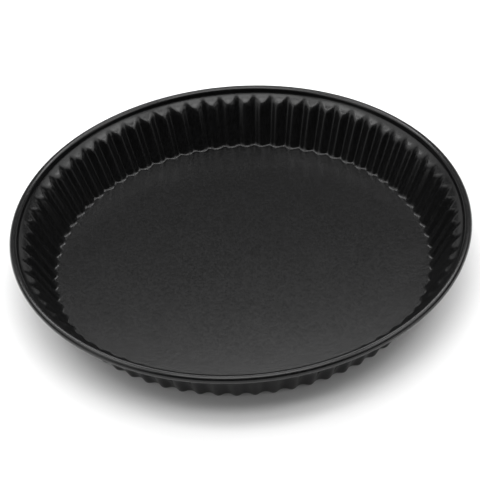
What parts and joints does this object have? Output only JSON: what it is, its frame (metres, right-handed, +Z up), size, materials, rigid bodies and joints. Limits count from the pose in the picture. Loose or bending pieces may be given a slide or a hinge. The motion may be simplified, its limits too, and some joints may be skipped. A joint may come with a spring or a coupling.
{
  "type": "tart pan",
  "caption": "Round one-piece tart pan: flat floor, flared fluted wall, narrow plain shoulder and a rim curled outwards over a wire hoop.",
  "frame": {"origin": "centre of the flat underside, on the surface that the pan stands on", "axes": "+Z up, out of the open side; +Y points through the middle of an inward ridge of the wall"},
  "size_m": [0.28, 0.28, 0.0363],
  "materials": {
    "nonstick_coating": "satin black non-stick coat with a very fine speckle, on drawn sheet steel",
    "steel_wire": "plain drawn wire"
  },
  "bodies": {
    "root": {"pan_shell": "nonstick_coating", "rim_wire": "steel_wire"}
  },
  "joints": []
}
